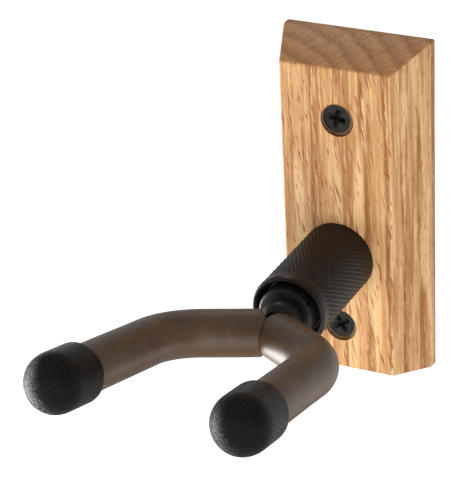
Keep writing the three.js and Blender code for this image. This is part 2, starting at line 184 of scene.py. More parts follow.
# Boss and its set screw.
BOSS_RADIUS = 10.3
BOSS_PROJECTION = 2.6
BOSS_SHOULDER = 1.7
BOSS_CROWN = 0.15
NECK_RADIUS = 7.2
NECK_LENGTH = 4.2
NECK_GROOVE = 0.6
NECK_TIP_RADIUS = 5.0
NECK_EASE = 1.2
STUD_SOCKET_FLOOR = 1
SADDLE_CLEARANCE = 0.12
SET_SCREW_ANGLE = radians(55)
SET_SCREW_Y = MOUTH_Y - 0.2 * BOSS_PROJECTION
SET_SCREW_RADIUS = 1.0
SET_SCREW_FOOT = 4.3
SET_SCREW_SUNK = 0.4
SET_SCREW_EASE = 0.15
TAPPED_RADIUS = 1.1
HEX_RADIUS = 0.55
HEX_DEPTH = 1.0
HEX_POINT_DEPTH = 1.2

# Yoke. The elbow and the tip are (across, out) in its plane, from its middle.
YOKE_FORWARD = 12.5
YOKE_DROP = 1.2
YOKE_MIDDLE = Vector((0, MOUTH_Y - YOKE_FORWARD, HUB_Z - YOKE_DROP))
YOKE_TILT = radians(14.4)
ELBOW = Vector((29.2, 24.2))
TIP = Vector((32.9, 93.2))
ELBOW_BEND = 30.0
MIDDLE_BEND = 6.0
ROD_RADIUS = 4.0
ROD_END_CUTS = ((0.5, 0), (0.15, 0.15), (0, 0.5))
ROD_STEPS = 160
ROD_SEGMENTS = 40
TUBE_RADIUS = 8.5
TUBE_BORE = 4.3
TUBE_START = 4.0
TUBE_EDGE = 0.9
TUBE_ROUND = ((1, 0), (0.4, 0.12), (0.12, 0.4))
TUBE_STEPS = 110
BORE_STEPS = 60
TUBE_SEGMENTS = 64
TUBE_SEAM = 0.15
CUTTER_SIZE = 40
CUTTER_Y = -82
SWAY_HEIGHT = 0.07
SWAY_RATE = 0.11
SWAY_TURN = 0.03
OVAL_HEIGHT = 0.05
OVAL_TURN = 0.07
BULGE_UNDER = 0.06
CAP_RADIUS = 10.4
CAP_SKIRT = 13.0
CAP_SKIRT_STEPS = 10
CAP_DOME = 9.8
CAP_RIM = 1.4
CAP_RIM_STEPS = 8
CAP_BORE_END = 5.3
CAP_CLEARANCE = 0.1
CAP_MOUTH = 0.3
DOME_POWER = 2.35
DOME_STEPS = 28


# ---- camera ----

CAMERA_AZIMUTH = radians(27.1)
CAMERA_ELEVATION = radians(27.34)
CAMERA_ROLL = radians(-2.83)
CAMERA_DISTANCE = 856.5
CAMERA_AIM = Vector((-42.65, -29.34, -12.95))
CAMERA_LENS = 172.4
CAMERA_NEAR = 0.05
CAMERA_FAR = 20


def direction_at(azimuth, elevation):
    """Direction from the object. Azimuth 0 is in front, and a quarter turn is at the right."""
    level = cos(elevation)
    return Vector((sin(azimuth) * level, -cos(azimuth) * level, sin(elevation)))


def add_camera():
    data = bpy.data.cameras.new("camera")
    data.lens = CAMERA_LENS
    data.clip_start = CAMERA_NEAR
    data.clip_end = CAMERA_FAR
    camera = new_object("camera", data)
    back = direction_at(CAMERA_AZIMUTH, CAMERA_ELEVATION)
    turn = (-back).to_track_quat("-Z", "Y") @ Quaternion((0, 0, 1), CAMERA_ROLL)
    camera.rotation_mode = "QUATERNION"
    camera.rotation_quaternion = turn
    camera.location = (CAMERA_AIM + CAMERA_DISTANCE * back) * MM
    bpy.context.scene.camera = camera


add_camera()


# ---- shader helpers ----

# A Mix node's colour sockets come after those for numbers and vectors.
MIX_FIRST, MIX_SECOND, MIX_RESULT = 6, 7, 2


class Shader:
    """A material's node tree, with short calls for the nodes that the finishes share."""

    def __init__(self, name):
        self.material = bpy.data.materials.new(name)
        self.material.use_nodes = True
        self.nodes = self.material.node_tree.nodes
        self.links = self.material.node_tree.links
        self.surface = self.nodes["Principled BSDF"]
        coordinates = self.add("TexCoord")
        self.place = self.vector("SCALE", coordinates.outputs["Object"], scale=1 / MM)

    def add(self, kind, inputs=None, **settings):
        """A shader node with its settings, and with its inputs linked or set."""
        node = self.nodes.new("ShaderNode" + kind)
        for key, value in settings.items():
            setattr(node, key, value)
        for key, value in (inputs or {}).items():
            self.feed(node.inputs[key], value)
        return node

    def feed(self, socket, value):
        """Links an output to an input, or sets the input to a constant."""
        if isinstance(value, bpy.types.NodeSocket):
            self.links.new(value, socket)
        else:
            socket.default_value = value

    def set(self, **inputs):
        """Sets the surface's own sockets: set(Base_Color=..., Roughness=...)."""
        for key, value in inputs.items():
            self.feed(self.surface.inputs[key.replace("_", " ")], value)

    def vector(self, operation, first, second=(0, 0, 0), scale=None):
        inputs = {0: first, 1: second} if scale is None else {0: first, "Scale": scale}
        node = self.add("VectorMath", inputs, operation=operation)
        return node.outputs["Value" if operation == "LENGTH" else "Vector"]

    def number(self, operation, first, second=0.0, third=0.0):
        inputs = {0: first, 1: second, 2: third}
        return self.add("Math", inputs, operation=operation).outputs[0]

    def times(self, first, second):
        return self.number("MULTIPLY", first, second)

    def component(self, vector, axis):
        return self.add("SeparateXYZ", {0: vector}).outputs[axis]

    def facing(self, axis):
        """How squarely the surface faces along an axis of its piece, 0 to 1."""
        node = self.add("TexCoord")
        return self.number("ABSOLUTE", self.component(node.outputs["Normal"], axis))

    def stretched(self, x, y, z, place=None):
        """The place in millimetres, with each axis multiplied by its own factor."""
        return self.vector("MULTIPLY", place or self.place, (x, y, z))

    def noise(self, place, scale=1.0, detail=2.0, roughness=0.5, distortion=0.0):
        return self.add("TexNoise", {
            "Vector": place,
            "Scale": scale,
            "Detail": detail,
            "Roughness": roughness,
            "Distortion": distortion,
        }).outputs["Fac"]

    def fade(self, value, low, high, to_low=0.0, to_high=1.0):
        """Smooth step from to_low to to_high as value goes from low to high."""
        inputs = {"Value": value, "From Min": low, "From Max": high, "To Min": to_low, "To Max": to_high}
        return self.add("MapRange", inputs, interpolation_type="SMOOTHSTEP").outputs["Result"]

    def mix(self, factor, first, second):
        """Mixes two colours."""
        inputs = {"Factor": factor, MIX_FIRST: first, MIX_SECOND: second}
        return self.add("Mix", inputs, data_type="RGBA").outputs[MIX_RESULT]

    def ramp(self, value, *stops):
        """Colour ramp from (position, colour) stops."""
        node = self.add("ValToRGB", {"Fac": value})
        elements = node.color_ramp.elements
        while len(elements) < len(stops):
            elements.new(0.5)
        for element, (position, colour) in zip(elements, stops):
            element.position = position
            element.color = colour
        return node.outputs["Color"]

    def bump(self, height, depth):
        """Bump whose full height is depth millimetres."""
        node = self.add("Bump", {"Distance": depth * MM, "Height": height})
        self.feed(self.surface.inputs["Normal"], node.outputs["Normal"])


def srgb(red, green, blue):
    """A colour given as it looks on screen, 0 to 255, as the linear one that a shader takes."""
    def linear(value):
        share = value / 255
        return share / 12.92 if share <= 0.04045 else ((share + 0.055) / 1.055) ** 2.4
    return (linear(red), linear(green), linear(blue), 1.0)


# ---- materials ----

RING_WIDTH = 7.1
RING_START = 50.1
RING_WANDER = 1.3
PITH = Vector((-39, -66, 0))
PITH_TO_BLOCK = 66.0
GRAIN_SLOPE = 0.01
PORE_SLANT = Vector((0.14, -0.15, 0))
PEEL_DEPTH = 0.015


def tree_place(shader):
    """Place in the tree, in millimetres: outwards from the pith, round it, and up the trunk."""
    up = shader.component(shader.place, "Z")
    offset = shader.vector("SUBTRACT", shader.place, PITH)
    x = shader.number("ADD", shader.component(offset, "X"), shader.times(up, GRAIN_SLOPE))
    y = shader.component(offset, "Y")
    squares = shader.number("MULTIPLY_ADD", x, x, shader.times(y, y))
    angle = shader.number("ARCTAN2", y, x)
    wander = shader.noise(shader.stretched(0.07, 0.07, 0.008), detail=2.0)
    shift = shader.fade(wander, 0.2, 0.8, -RING_WANDER, RING_WANDER)
    return shader.add("CombineXYZ", {
        "X": shader.number("ADD", shader.number("SQRT", squares), shift),
        "Y": shader.times(angle, PITH_TO_BLOCK),
        "Z": up,
    }).outputs[0]


def oak_board(shader, tree, phase, fibre, tint):
    """Colour of the faces along the grain: growth rings, pale fibres, brown streaks and cream."""
    board = shader.ramp(
        phase,
        (0.0, tint(144, 92, 47)),
        (0.2, tint(166, 113, 66)),
        (0.5, tint(190, 140, 91)),
        (0.9, tint(197, 148, 98)),
        (1.0, tint(144, 92, 47)),
    )
    board = shader.mix(shader.fade(fibre, 0.47, 0.64, 0.0, 0.9), board, tint(212, 168, 117))
    streak = shader.noise(shader.stretched(0.34, 0.25, 0.011, tree), detail=2.0)
    board = shader.mix(shader.fade(streak, 0.5, 0.68, 0.0, 0.7), board, tint(151, 97, 50))
    cream = shader.noise(shader.stretched(0.24, 0.2, 0.02, tree), detail=2.0)
    return shader.mix(shader.fade(cream, 0.5, 0.66, 0.0, 0.75), board, tint(222, 184, 133))


def oak_pores(shader, tree, early):
    """Where the pores are, 0 to 1: thin slanted streaks, more of them in the early wood."""
    up = shader.component(shader.place, "Z")
    slanted = shader.vector("ADD", tree, shader.vector("SCALE", PORE_SLANT, scale=up))
    pore = shader.noise(shader.stretched(1.45, 1.3, 0.12, slanted), detail=1.5, distortion=0.1)
    edge = shader.number("MULTIPLY_ADD", early, -0.05, 0.6)
    return shader.fade(shader.number("SUBTRACT", pore, edge), 0.0, 0.08)


def oak_flecks(shader, board, tree, early, pores, rays, tint):
    """Adds pores, painted glints (pale specks that stand in for light caught on the finish over the
    pores) and rays to the colour of the faces. Pores show less on the sides.
    """
    strength = shader.fade(shader.facing("X"), 0.3, 0.9, 0.92, 0.38)
    board = shader.mix(shader.times(pores, strength), board, tint(152, 86, 42))
    # Painted glints: pale specks in the early wood that stand in for light caught on the finish. They
    # are not marks in the wood.
    glint_noise = shader.noise(shader.stretched(2.4, 2.4, 1.3, tree), detail=0.0)
    painted_glints = shader.times(shader.fade(glint_noise, 0.76, 0.82), early)
    board = shader.mix(shader.times(painted_glints, 0.7), board, tint(244, 226, 200))
    return shader.mix(shader.times(rays, 0.25), board, tint(236, 201, 158))


def oak_ends(shader, phase, pores, ray, rays, tint):
    """Colour of the end grain."""
    ends = shader.ramp(
        phase,
        (0.0, tint(173, 119, 73)),
        (0.3, tint(189, 134, 86)),
        (0.75, tint(203, 148, 96)),
        (1.0, tint(173, 119, 73)),
    )
    ends = shader.mix(shader.times(pores, 0.18), ends, tint(138, 92, 54))
    ends = shader.mix(shader.fade(ray, 0.47, 0.33, 0.0, 0.4), ends, tint(150, 101, 60))
    return shader.mix(shader.times(rays, 0.22), ends, tint(214, 166, 118))


def oak(name, shade=1.0):
    """Rift-sawn red oak under a satin finish. Rings, rays and pores are solid patterns about the
    tree's pith, so that the streaks on the faces and the bands on the end grain belong together."""
    def tint(*colour):
        return srgb(*(value * shade for value in colour))

    shader = Shader(name)
    tree = tree_place(shader)
    depth = shader.number("SUBTRACT", shader.component(tree, "X"), RING_START)
    phase = shader.number("FRACT", shader.number("DIVIDE", depth, RING_WIDTH))
    early = shader.fade(phase, 0.45, 0.02)
    fibre = shader.noise(shader.stretched(0.7, 0.5, 0.02, tree), detail=3.0, roughness=0.6)
    pores = oak_pores(shader, tree, early)
    ray = shader.noise(shader.stretched(0.14, 1.7, 0.1, tree), detail=1.0, distortion=0.3)
    rays = shader.fade(ray, 0.58, 0.68)

    board = oak_board(shader, tree, phase, fibre, tint)
    board = oak_flecks(shader, board, tree, early, pores, rays, tint)
    ends = oak_ends(shader, phase, pores, ray, rays, tint)
    end_grain = shader.fade(shader.facing("Z"), 0.45, 0.8)
    shader.set(
        Base_Color=shader.mix(end_grain, board, ends),
        Roughness=shader.fade(pores, 0.0, 1.0, 0.46, 0.72),
        Specular_IOR_Level=0.2,
    )
    height = shader.number("MULTIPLY_ADD", pores, -1.0, shader.times(fibre, 0.5))
    shader.bump(height, 0.11)
    return shader.material


def knurled_black():
    """Black coating, with a brownish tint where it thins over the knurl's points."""
    shader = Shader("hub_black")
    ridge = shader.add("Attribute", attribute_name="ridge").outputs["Fac"]
    grain = shader.noise(shader.place, scale=6.0, detail=3.0)
    worn = shader.times(ridge, shader.fade(grain, 0.4, 0.7))
    shader.set(
        Base_Color=shader.mix(worn, srgb(24, 18, 13), srgb(48, 40, 33)),
        Roughness=shader.fade(grain, 0.3, 0.7, 0.34, 0.48),
        Specular_IOR_Level=0.27,
    )
    shader.bump(grain, PEEL_DEPTH)
    return shader.material


def coated_black(name, roughness, tint, specular):
    """Smooth black coating on metal, with faint orange peel and slightly lighter grime."""
    shader = Shader(name)
    peel = shader.noise(shader.place, scale=1.6, detail=2.0)
    marks = shader.noise(shader.stretched(0.7, 4.0, 5.0), detail=3.0, distortion=0.4)
    grime = shader.fade(shader.noise(shader.place, scale=0.35, detail=4.0), 0.35, 0.7)
    lighter = srgb(*(value * 1.35 for value in tint))
    shader.set(
        Base_Color=shader.mix(grime, srgb(*tint), lighter),
        Roughness=shader.fade(marks, 0.35, 0.65, roughness, roughness + 0.08),
        Specular_IOR_Level=specular,
    )
    shader.bump(shader.number("ADD", peel, shader.times(marks, 0.4)), PEEL_DEPTH)
    return shader.material


def bare_metal(name, light, dark, roughness):
    """Turned or plated metal with fine marks round the hub's axis."""
    shader = Shader(name)
    marks = shader.noise(shader.stretched(0.4, 9.0, 0.4), detail=3.0)
    cloud = shader.noise(shader.place, scale=0.5, detail=3.0)
    tone = shader.mix(shader.fade(cloud, 0.35, 0.65), srgb(*dark), srgb(*light))
    shader.set(
        Base_Color=tone,
        Roughness=shader.fade(marks, 0.3, 0.7, roughness, roughness + 0.15),
        Metallic=1.0,
    )
    shader.bump(marks, 0.01)
    return shader.material


def nylon(name, dark, light):
    """Moulded plastic with a faint cloudiness."""
    shader = Shader(name)
    cloud = shader.noise(shader.place, scale=0.8, detail=2.0)
    shader.set(
        Base_Color=shader.mix(shader.fade(cloud, 0.3, 0.7), srgb(*dark), srgb(*light)),
        Roughness=shader.fade(cloud, 0.3, 0.7, 0.38, 0.5),
        Subsurface_Weight=0.1,
    )
    shader.bump(cloud, 0.01)
    return shader.material


def brown_tube():
    """Soft brown tubing with a satin skin and faint scuffs."""
    shader = Shader("brown_tube")
    cloud = shader.noise(shader.place, scale=0.09, detail=4.0)
    pitted = shader.noise(shader.place, scale=2.2, detail=3.0)
    scuff = shader.fade(shader.noise(shader.place, scale=0.6, detail=5.0), 0.58, 0.7)
    skin = shader.mix(shader.fade(cloud, 0.35, 0.65), srgb(74, 53, 35), srgb(86, 64, 45))
    skin = shader.mix(shader.times(scuff, 0.2), skin, srgb(126, 104, 86))
    shader.set(
        Base_Color=skin,
        Roughness=shader.fade(pitted, 0.3, 0.7, 0.41, 0.51),
        Specular_IOR_Level=0.46,
    )
    shader.bump(pitted, 0.03)
    return shader.material


def cap_rubber():
    """Dipped black rubber with a fine grain that breaks up its sheen."""
    shader = Shader("cap_rubber")
    grain = shader.noise(shader.place, scale=1.3, detail=4.0, roughness=0.75)
    cloud = shader.noise(shader.place, scale=0.25, detail=2.0)
    shader.set(
        Base_Color=shader.mix(shader.fade(cloud, 0.35, 0.65), srgb(7, 6, 5), srgb(14, 12, 10)),
        Roughness=shader.fade(grain, 0.3, 0.7, 0.22, 0.38),
        Specular_IOR_Level=0.1,
    )
    shader.bump(grain, 0.65)
    return shader.material


OAK = oak("oak")
# Oak at 0.6 of its brightness for the walls of the holes. This is painted shade in the recesses, on top
# of the slightly darker tone of burnished cut wood.
SHADED_HOLE_OAK = oak("hole_shaded_oak", 0.6)
HUB_BLACK = knurled_black()
GLOSS_BLACK = coated_black("gloss_black", 0.3, (36, 34, 31), 0.22)
SCREW_BLACK = coated_black("black_screw", 0.34, (27, 26, 24), 0.16)
BRONZE = bare_metal("bronze", (184, 140, 84), (150, 108, 60), 0.35)
ZINC = bare_metal("zinc_steel", (206, 208, 210), (168, 171, 175), 0.28)
SPRING = bare_metal("spring_steel", (132, 132, 134), (96, 96, 99), 0.32)
NYLON = nylon("nylon", (224, 219, 205), (238, 235, 225))
BLACK_NYLON = nylon("black_nylon", (18, 17, 16), (27, 26, 24))
TUBE_BROWN = brown_tube()
CAP_RUBBER = cap_rubber()


# ---- mesh helpers ----

def mesh_object(name, points, faces, material):
    """Closed object from points in millimetres, with its faces turned outwards."""
    mesh = bpy.data.meshes.new(name)
    mesh.from_pydata([Vector(p) * MM for p in points], [], faces)
    mesh.validate()
    mesh.materials.append(material)
    work = bmesh.new()
    work.from_mesh(mesh)
    bmesh.ops.recalc_face_normals(work, faces=work.faces)
    if work.calc_volume(signed=True) < 0:
        bmesh.ops.reverse_faces(work, faces=work.faces)
    work.to_mesh(mesh)
    work.free()
    return new_object(name, mesh)


def ring_mesh(name, rings, material, closed=False, capped=False):
    """Object through rings of points. A ring of one point closes an end, closed joins the last
    ring to the first, and capped puts a face over each end."""
    starts, points = [], []
    for ring in rings:
        starts.append(len(points))
        points += ring
    faces = []
    for first in range(len(rings) if closed else len(rings) - 1):
        second = (first + 1) % len(rings)
        count = max(len(rings[first]), len(rings[second]))
        for i in range(count):
            j = (i + 1) % count
            corners = []
            for ring, step in ((first, i), (first, j), (second, j), (second, i)):
                corner = starts[ring] + (step if len(rings[ring]) > 1 else 0)
                if corner not in corners:
                    corners.append(corner)
            faces.append(corners)
    if capped:
        count = len(rings[0])
        faces.append(list(range(count)))
        faces.append(list(range(len(points) - count, len(points))))
    return mesh_object(name, points, faces, material)


def angles(count):
    return [2 * pi * i / count for i in range(count)]


def eased(profile, radius, closed=False, steps=4):
    """The outline with each corner off the axis rounded by about radius, or by a little under half
    of its shorter side."""
    points = [Vector(p) for p in profile]
    share = 0.45
    result = []
    for i, corner in enumerate(points):
        if not (closed or 0 < i < len(points) - 1):
            result.append(corner)
            continue
        before, after = points[i - 1], points[(i + 1) % len(points)]
        reach = min(radius, (before - corner).length * share, (after - corner).length * share)
        enter = corner + (before - corner).normalized() * reach
        leave = corner + (after - corner).normalized() * reach
        for k in range(steps + 1):
            t = k / steps
            result.append(enter * (1 - t) ** 2 + corner * 2 * t * (1 - t) + leave * t ** 2)
    return result


def turned(name, profile, material, origin=HUB_AXIS, axis=TOWARDS_WALL, segments=TURNED_SEGMENTS,
           closed=False):
    """Solid turned about an axis through origin. The profile's points are (radius, along)."""
    turn = axis.to_track_quat("Z", "X")
    rings = []
    for radius, along in profile:
        rings.append([
            origin + turn @ Vector((radius * cos(angle), radius * sin(angle), along))
            for angle in angles(1 if radius < ON_AXIS else segments)
        ])
    return ring_mesh(name, rings, material, closed)


def settle(target):
    """Applies the modifiers to the mesh."""
    graph = bpy.context.evaluated_depsgraph_get()
    mesh = bpy.data.meshes.new_from_object(target.evaluated_get(graph))
    target.modifiers.clear()
    target.data = mesh


def boolean(target, tools, operation="DIFFERENCE"):
    """Cuts the tools away from the target, or keeps what they share, and removes the tools."""
    for tool in tools:
        modifier = target.modifiers.new("boolean", "BOOLEAN")
        modifier.operation = operation
        modifier.solver = "EXACT"
        modifier.material_mode = "TRANSFER"
        modifier.object = tool
    settle(target)
    for tool in tools:
        bpy.data.objects.remove(tool)


def soften(target, width, segments, angle):
    """Rounds the edges that turn by more than the angle, in degrees."""
    modifier = target.modifiers.new("soften", "BEVEL")
    modifier.width = width * MM
    modifier.segments = segments
    modifier.limit_method = "ANGLE"
    modifier.angle_limit = radians(angle)
    modifier.use_clamp_overlap = True
    settle(target)


def finish(piece, node, body, crease=32):
    """Smooth shading, and the piece's place in the model."""
    piece.data.shade_smooth()
    piece.data.set_sharp_from_angle(angle=radians(crease))
    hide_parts(node)
    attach(piece, body)


# ---- oak block ----

def middle_height(node):
    low, high = box_mm(node)
    return (low.z + high.z) / 2


def block_shell():
    """The block before it is drilled: a square band at the wall, then four bevels."""
    low, high = BLOCK_LOW, BLOCK_HIGH
    rectangles = [
        (low.x, high.x, low.z, high.z, high.y),
        (low.x, high.x, low.z, high.z, high.y - BLOCK_BAND),
        (low.x + SIDE_BEVEL, high.x - SIDE_BEVEL, low.z + END_BEVEL, high.z - END_BEVEL, low.y),
    ]
    points, faces = [], [[3, 2, 1, 0], [8, 9, 10, 11]]
    for left, right, bottom, top, y in rectangles:
        points += [(left, y, bottom), (right, y, bottom), (right, y, top), (left, y, top)]
    for start in (0, 4):
        for i in range(4):
            j = (i + 1) % 4
            faces.append([start + i, start + j, start + 4 + j, start + 4 + i])
    shell = mesh_object("oak_block", points, faces, OAK)
    soften(shell, BLOCK_ARRIS, segments=BLOCK_ARRIS_STEPS, angle=5)
    return shell


def screw_hole(height):
    """Countersink and clearance hole."""
    floor = FACE_Y + COUNTERBORE_DEPTH
    seat = SCREW_HEAD_RADIUS + HEAD_CLEARANCE
    sink = (seat - CLEARANCE_RADIUS) / COUNTERSINK_SLOPE
    profile = [
        (0, FACE_Y - OVERCUT),
        (seat, FACE_Y - OVERCUT),
        (seat, floor),
        (CLEARANCE_RADIUS, floor + sink),
        (CLEARANCE_RADIUS, -HOLE_EASE),
        (CLEARANCE_RADIUS + HOLE_EASE, 0),
        (CLEARANCE_RADIUS + HOLE_EASE, OVERCUT),
        (0, OVERCUT),
    ]
    return turned("screw_hole", profile, SHADED_HOLE_OAK, origin=Vector((0, 0, height)))


def counterbore(height, shift):
    """Shallow bore over the countersink, drilled a little to its right, with an eased mouth."""
    profile = [
        (0, FACE_Y - OVERCUT),
        (COUNTERBORE_RADIUS + HOLE_EASE, FACE_Y - OVERCUT),
        (COUNTERBORE_RADIUS + HOLE_EASE, FACE_Y),
        (COUNTERBORE_RADIUS, FACE_Y + HOLE_EASE),
        (COUNTERBORE_RADIUS, FACE_Y + COUNTERBORE_DEPTH),
        (0, FACE_Y + COUNTERBORE_DEPTH),
    ]
    return turned("counterbore", profile, SHADED_HOLE_OAK, origin=Vector((shift, 0, height)))


def hub_hole():
    """Seat for the hub, hole for the stud and pocket for the nut."""
    seat_floor = FACE_Y + SEAT_DEPTH
    profile = [
        (0, FACE_Y - OVERCUT),
        (SEAT_RADIUS, FACE_Y - OVERCUT),
        (SEAT_RADIUS, seat_floor),
        (STUD_HOLE_RADIUS, seat_floor),
        (STUD_HOLE_RADIUS, -POCKET_DEPTH),
        (POCKET_RADIUS, -POCKET_DEPTH),
        (POCKET_RADIUS, -HOLE_EASE),
        (POCKET_RADIUS + HOLE_EASE, 0),
        (POCKET_RADIUS + HOLE_EASE, OVERCUT),
        (0, OVERCUT),
    ]
    return turned("hub_hole", profile, SHADED_HOLE_OAK)


def add_block():
    block = block_shell()
    upper, lower = middle_height("upper_wall_screw"), middle_height("lower_wall_screw")
    # The cutters carry the darkened oak onto the hole walls, so the painted shade lands inside the
    # holes.
    boolean(block, [
        hub_hole(),
        screw_hole(upper),
        screw_hole(lower),
        counterbore(upper, UPPER_BORE_SHIFT),
        counterbore(lower, LOWER_BORE_SHIFT),
    ])
    finish(block, "wall_block", "base")


# ---- wall screws ----

# Distances from the top of the screw's head at which its land is sampled.
SCREW_LAND_STATIONS = (0, TINY, 0.1, 0.2, SCREW_EDGE, SCREW_LAND)

# Depth below the head, length of an arm, half its width, and ease of the inner corners.
CROSS_LEVELS = (
    (-1.0, 3.75, 1.15, 0.5),
    (0.0, 3.7, 1.1, 0.5),
    (0.25, 3.4, 0.86, 0.45),
    (2.25, 2.0, 0.66, 0.35),
    (3.0, 1.1, 0.45, 0.3),
)


def thread_height(turns):
    """Height of a sharp narrow thread, 0 to 1, at a number of turns along the helix."""
    offset = abs(turns - round(turns))
    return max(0.0, 1 - offset / SCREW_CREST_SPREAD)


def threaded(name, stations, radius_at, material, origin):
    """Grid turned about the hub's direction, closed at both ends, with radius_at(angle, along)."""
    rings = []
    for index, along in enumerate(stations):
        end = index in (0, len(stations) - 1)
        ring = []
        for angle in angles(1 if end else THREAD_SEGMENTS):
            radius = 0 if end else radius_at(angle, along)
            spoke = Vector((radius * cos(angle), along, radius * sin(angle)))
            ring.append(origin + spoke)
        rings.append(ring)
    return ring_mesh(name, rings, material)


def screw_shape(head_y, tip_y, head_radius):
    """Radius of the screw at an angle and a place along it, and the places where it changes."""
    cone_end = head_y + SCREW_LAND + (head_radius - SCREW_SHANK) / COUNTERSINK_SLOPE
    thread_start = tip_y - SCREW_THREAD_SHARE * (tip_y - head_y)
    step = SCREW_PITCH / SAMPLES_PER_SCREW_TURN

    def radius_at(angle, along):
        if along <= head_y + SCREW_LAND:
            return head_radius - max(0.0, SCREW_EDGE - (along - head_y)) * SCREW_EDGE_SLOPE
        if along <= cone_end:
            return head_radius - (along - head_y - SCREW_LAND) * COUNTERSINK_SLOPE
        if along < thread_start:
            return SCREW_NECK
        taper = min(1.0, (tip_y - along) / SCREW_POINT) ** SCREW_POINT_POWER
        crest = thread_height(along / SCREW_PITCH - angle / (2 * pi))
        run_in = min(1.0, (along - thread_start) / SCREW_PITCH)
        root = SCREW_NECK + (SCREW_ROOT - SCREW_NECK) * run_in
        return (root + (SCREW_SHANK - root) * crest) * taper

    cone = cone_end - head_y - SCREW_LAND
    stations = [head_y + distance for distance in SCREW_LAND_STATIONS]
    stations += [head_y + SCREW_LAND + cone * k / CONE_STEPS for k in range(1, CONE_STEPS + 1)]
    stations.append(thread_start - SMALL)
    rows = int((tip_y - thread_start) / step)
    stations += [thread_start + step * k for k in range(rows)]
    stations.append(tip_y)
    return radius_at, stations


def cross_outline(length, half_width, ease):
    """Outline of a cross with chamfered tips and eased inner corners."""
    tip = half_width * CROSS_TIP_SHARE
    inner = half_width + ease * CROSS_EASE_SHARE
    arm = [(length, tip), (length - CROSS_TIP, half_width), (half_width + ease, half_width)]
    arm += [(inner, inner)] + [(y, x) for x, y in reversed(arm)]
    points = []
    for k in range(4):
        spin = Matrix.Rotation(k * pi / 2, 2)
        points += [spin @ Vector(p) for p in arm]
    return points


def cross_cutter(centre, head_y, turn):
    """Tapered cross for the driver."""
    spin = Matrix.Rotation(turn, 3, "Y")
    rings = []
    for depth, length, half_width, ease in CROSS_LEVELS:
        outline = cross_outline(length, half_width, ease)
        rings.append([centre + spin @ Vector((p.x, head_y + depth, p.y)) for p in outline])
    return ring_mesh("cross_cutter", rings, SCREW_BLACK, capped=True)


def add_wall_screw(node, turn):
    low, high = box_mm(node)
    centre = Vector((0, 0, middle_height(node)))
    radius_at, stations = screw_shape(low.y, high.y, (high.z - low.z) / 2)
    screw = threaded(f"{node}_black", stations, radius_at, SCREW_BLACK, centre)
    boolean(screw, [cross_cutter(centre, low.y, turn)])
    finish(screw, node, "base")


# ---- hub ----

def knurl_profile():
    """Hub outline from the bore's front, over the lip and the knurl, to the spigot. The knurl has
    enough rows for its diamonds."""
    pitch = 2 * pi * HUB_RADIUS / KNURL_COUNT / math.tan(KNURL_HELIX)
    step = pitch / SAMPLES_PER_KNURL
    spigot_y = HUB_HIGH.y
    quarter = [pi / 2 * k / LIP_STEPS for k in range(LIP_STEPS + 1)]
    front = [(BUSH_RADIUS, MOUTH_Y + MOUTH_DEPTH), (MOUTH_RADIUS, MOUTH_Y + MOUTH_DEPTH)]
    for angle in quarter:
        radius = LIP_CREST - (LIP_CREST - MOUTH_RADIUS) * cos(angle)
        front.append((radius, MOUTH_Y + LIP_FLARE * (1 - sin(angle))))
    for angle in quarter[1:]:
        radius = LIP_CREST + (HUB_RADIUS - LIP_CREST) * sin(angle)
        front.append((radius, MOUTH_Y + LIP_ROUND * (1 - cos(angle))))
    room = FACE_Y - HUB_EDGE - (MOUTH_Y + LIP_ROUND + LIP_TO_KNURL)
    rows = int(room / step)
    side = [(HUB_RADIUS, FACE_Y - HUB_EDGE - step * k) for k in range(rows, -1, -1)]
    back = [
        (HUB_RADIUS - HUB_EDGE, FACE_Y),
        (SPIGOT_RADIUS, FACE_Y),
        (SPIGOT_RADIUS, spigot_y - SPIGOT_CHAMFER),
        (SPIGOT_RADIUS - SPIGOT_CHAMFER, spigot_y),
        (BUSH_RADIUS, spigot_y),
    ]
    return front + [Vector(p) for p in side + back], pitch


def press_knurl(hub, pitch):
    """Presses the two crossing sets of grooves into the hub's side, and keeps each point's height
    over them as the attribute ridge."""
    heights = []
    start = MOUTH_Y + KNURL_END_BAND
    for vertex in hub.data.vertices:
        x, y, z = vertex.co.x / MM, vertex.co.y / MM, vertex.co.z / MM - HUB_Z
        radius = math.hypot(x, z)
        on_side = radius > HUB_RADIUS - SMALL and start < y < FACE_Y
        if not on_side:
            heights.append(PLAIN_RIDGE)
            continue
        around = math.atan2(x, z) / (2 * pi) * KNURL_COUNT
        along = y / pitch
        waves = [abs(2 * (v - math.floor(v)) - 1) for v in (around + along, around - along)]
        height = min(1.0, min(waves) / KNURL_FLAT)
        fade = min(1.0, (y - start) / KNURL_RUN_IN)
        scale = (HUB_RADIUS - KNURL_DEPTH * (1 - height) * fade) / radius
        vertex.co.x = x * scale * MM
        vertex.co.z = (HUB_Z + z * scale) * MM
        heights.append(height)
    ridge = hub.data.attributes.new("ridge", "FLOAT", "POINT")
    ridge.data.foreach_set("value", heights)


def add_hub():
    profile, pitch = knurl_profile()
    around = KNURL_COUNT * SAMPLES_PER_KNURL
    hub = turned("knurled_hub", profile, HUB_BLACK, closed=True, segments=around)
    press_knurl(hub, pitch)
    finish(hub, "hub_sleeve", "base", crease=50)


# ---- parts on the hub's axis ----

def add_ring(name, node, body, material, clearance=WASHER_CLEARANCE):
    """Ring with eased edges that fills its CAD node's box, at a clearance from the stud."""
    low, high = box_mm(node)
    bore = STUD_RADIUS + clearance
    outer = (high.z - low.z) / 2
    corners = [(bore, low.y), (outer, low.y), (outer, high.y), (bore, high.y)]
    ring = turned(name, eased(corners, RING_EASE, closed=True), material, closed=True)
    finish(ring, node, body)


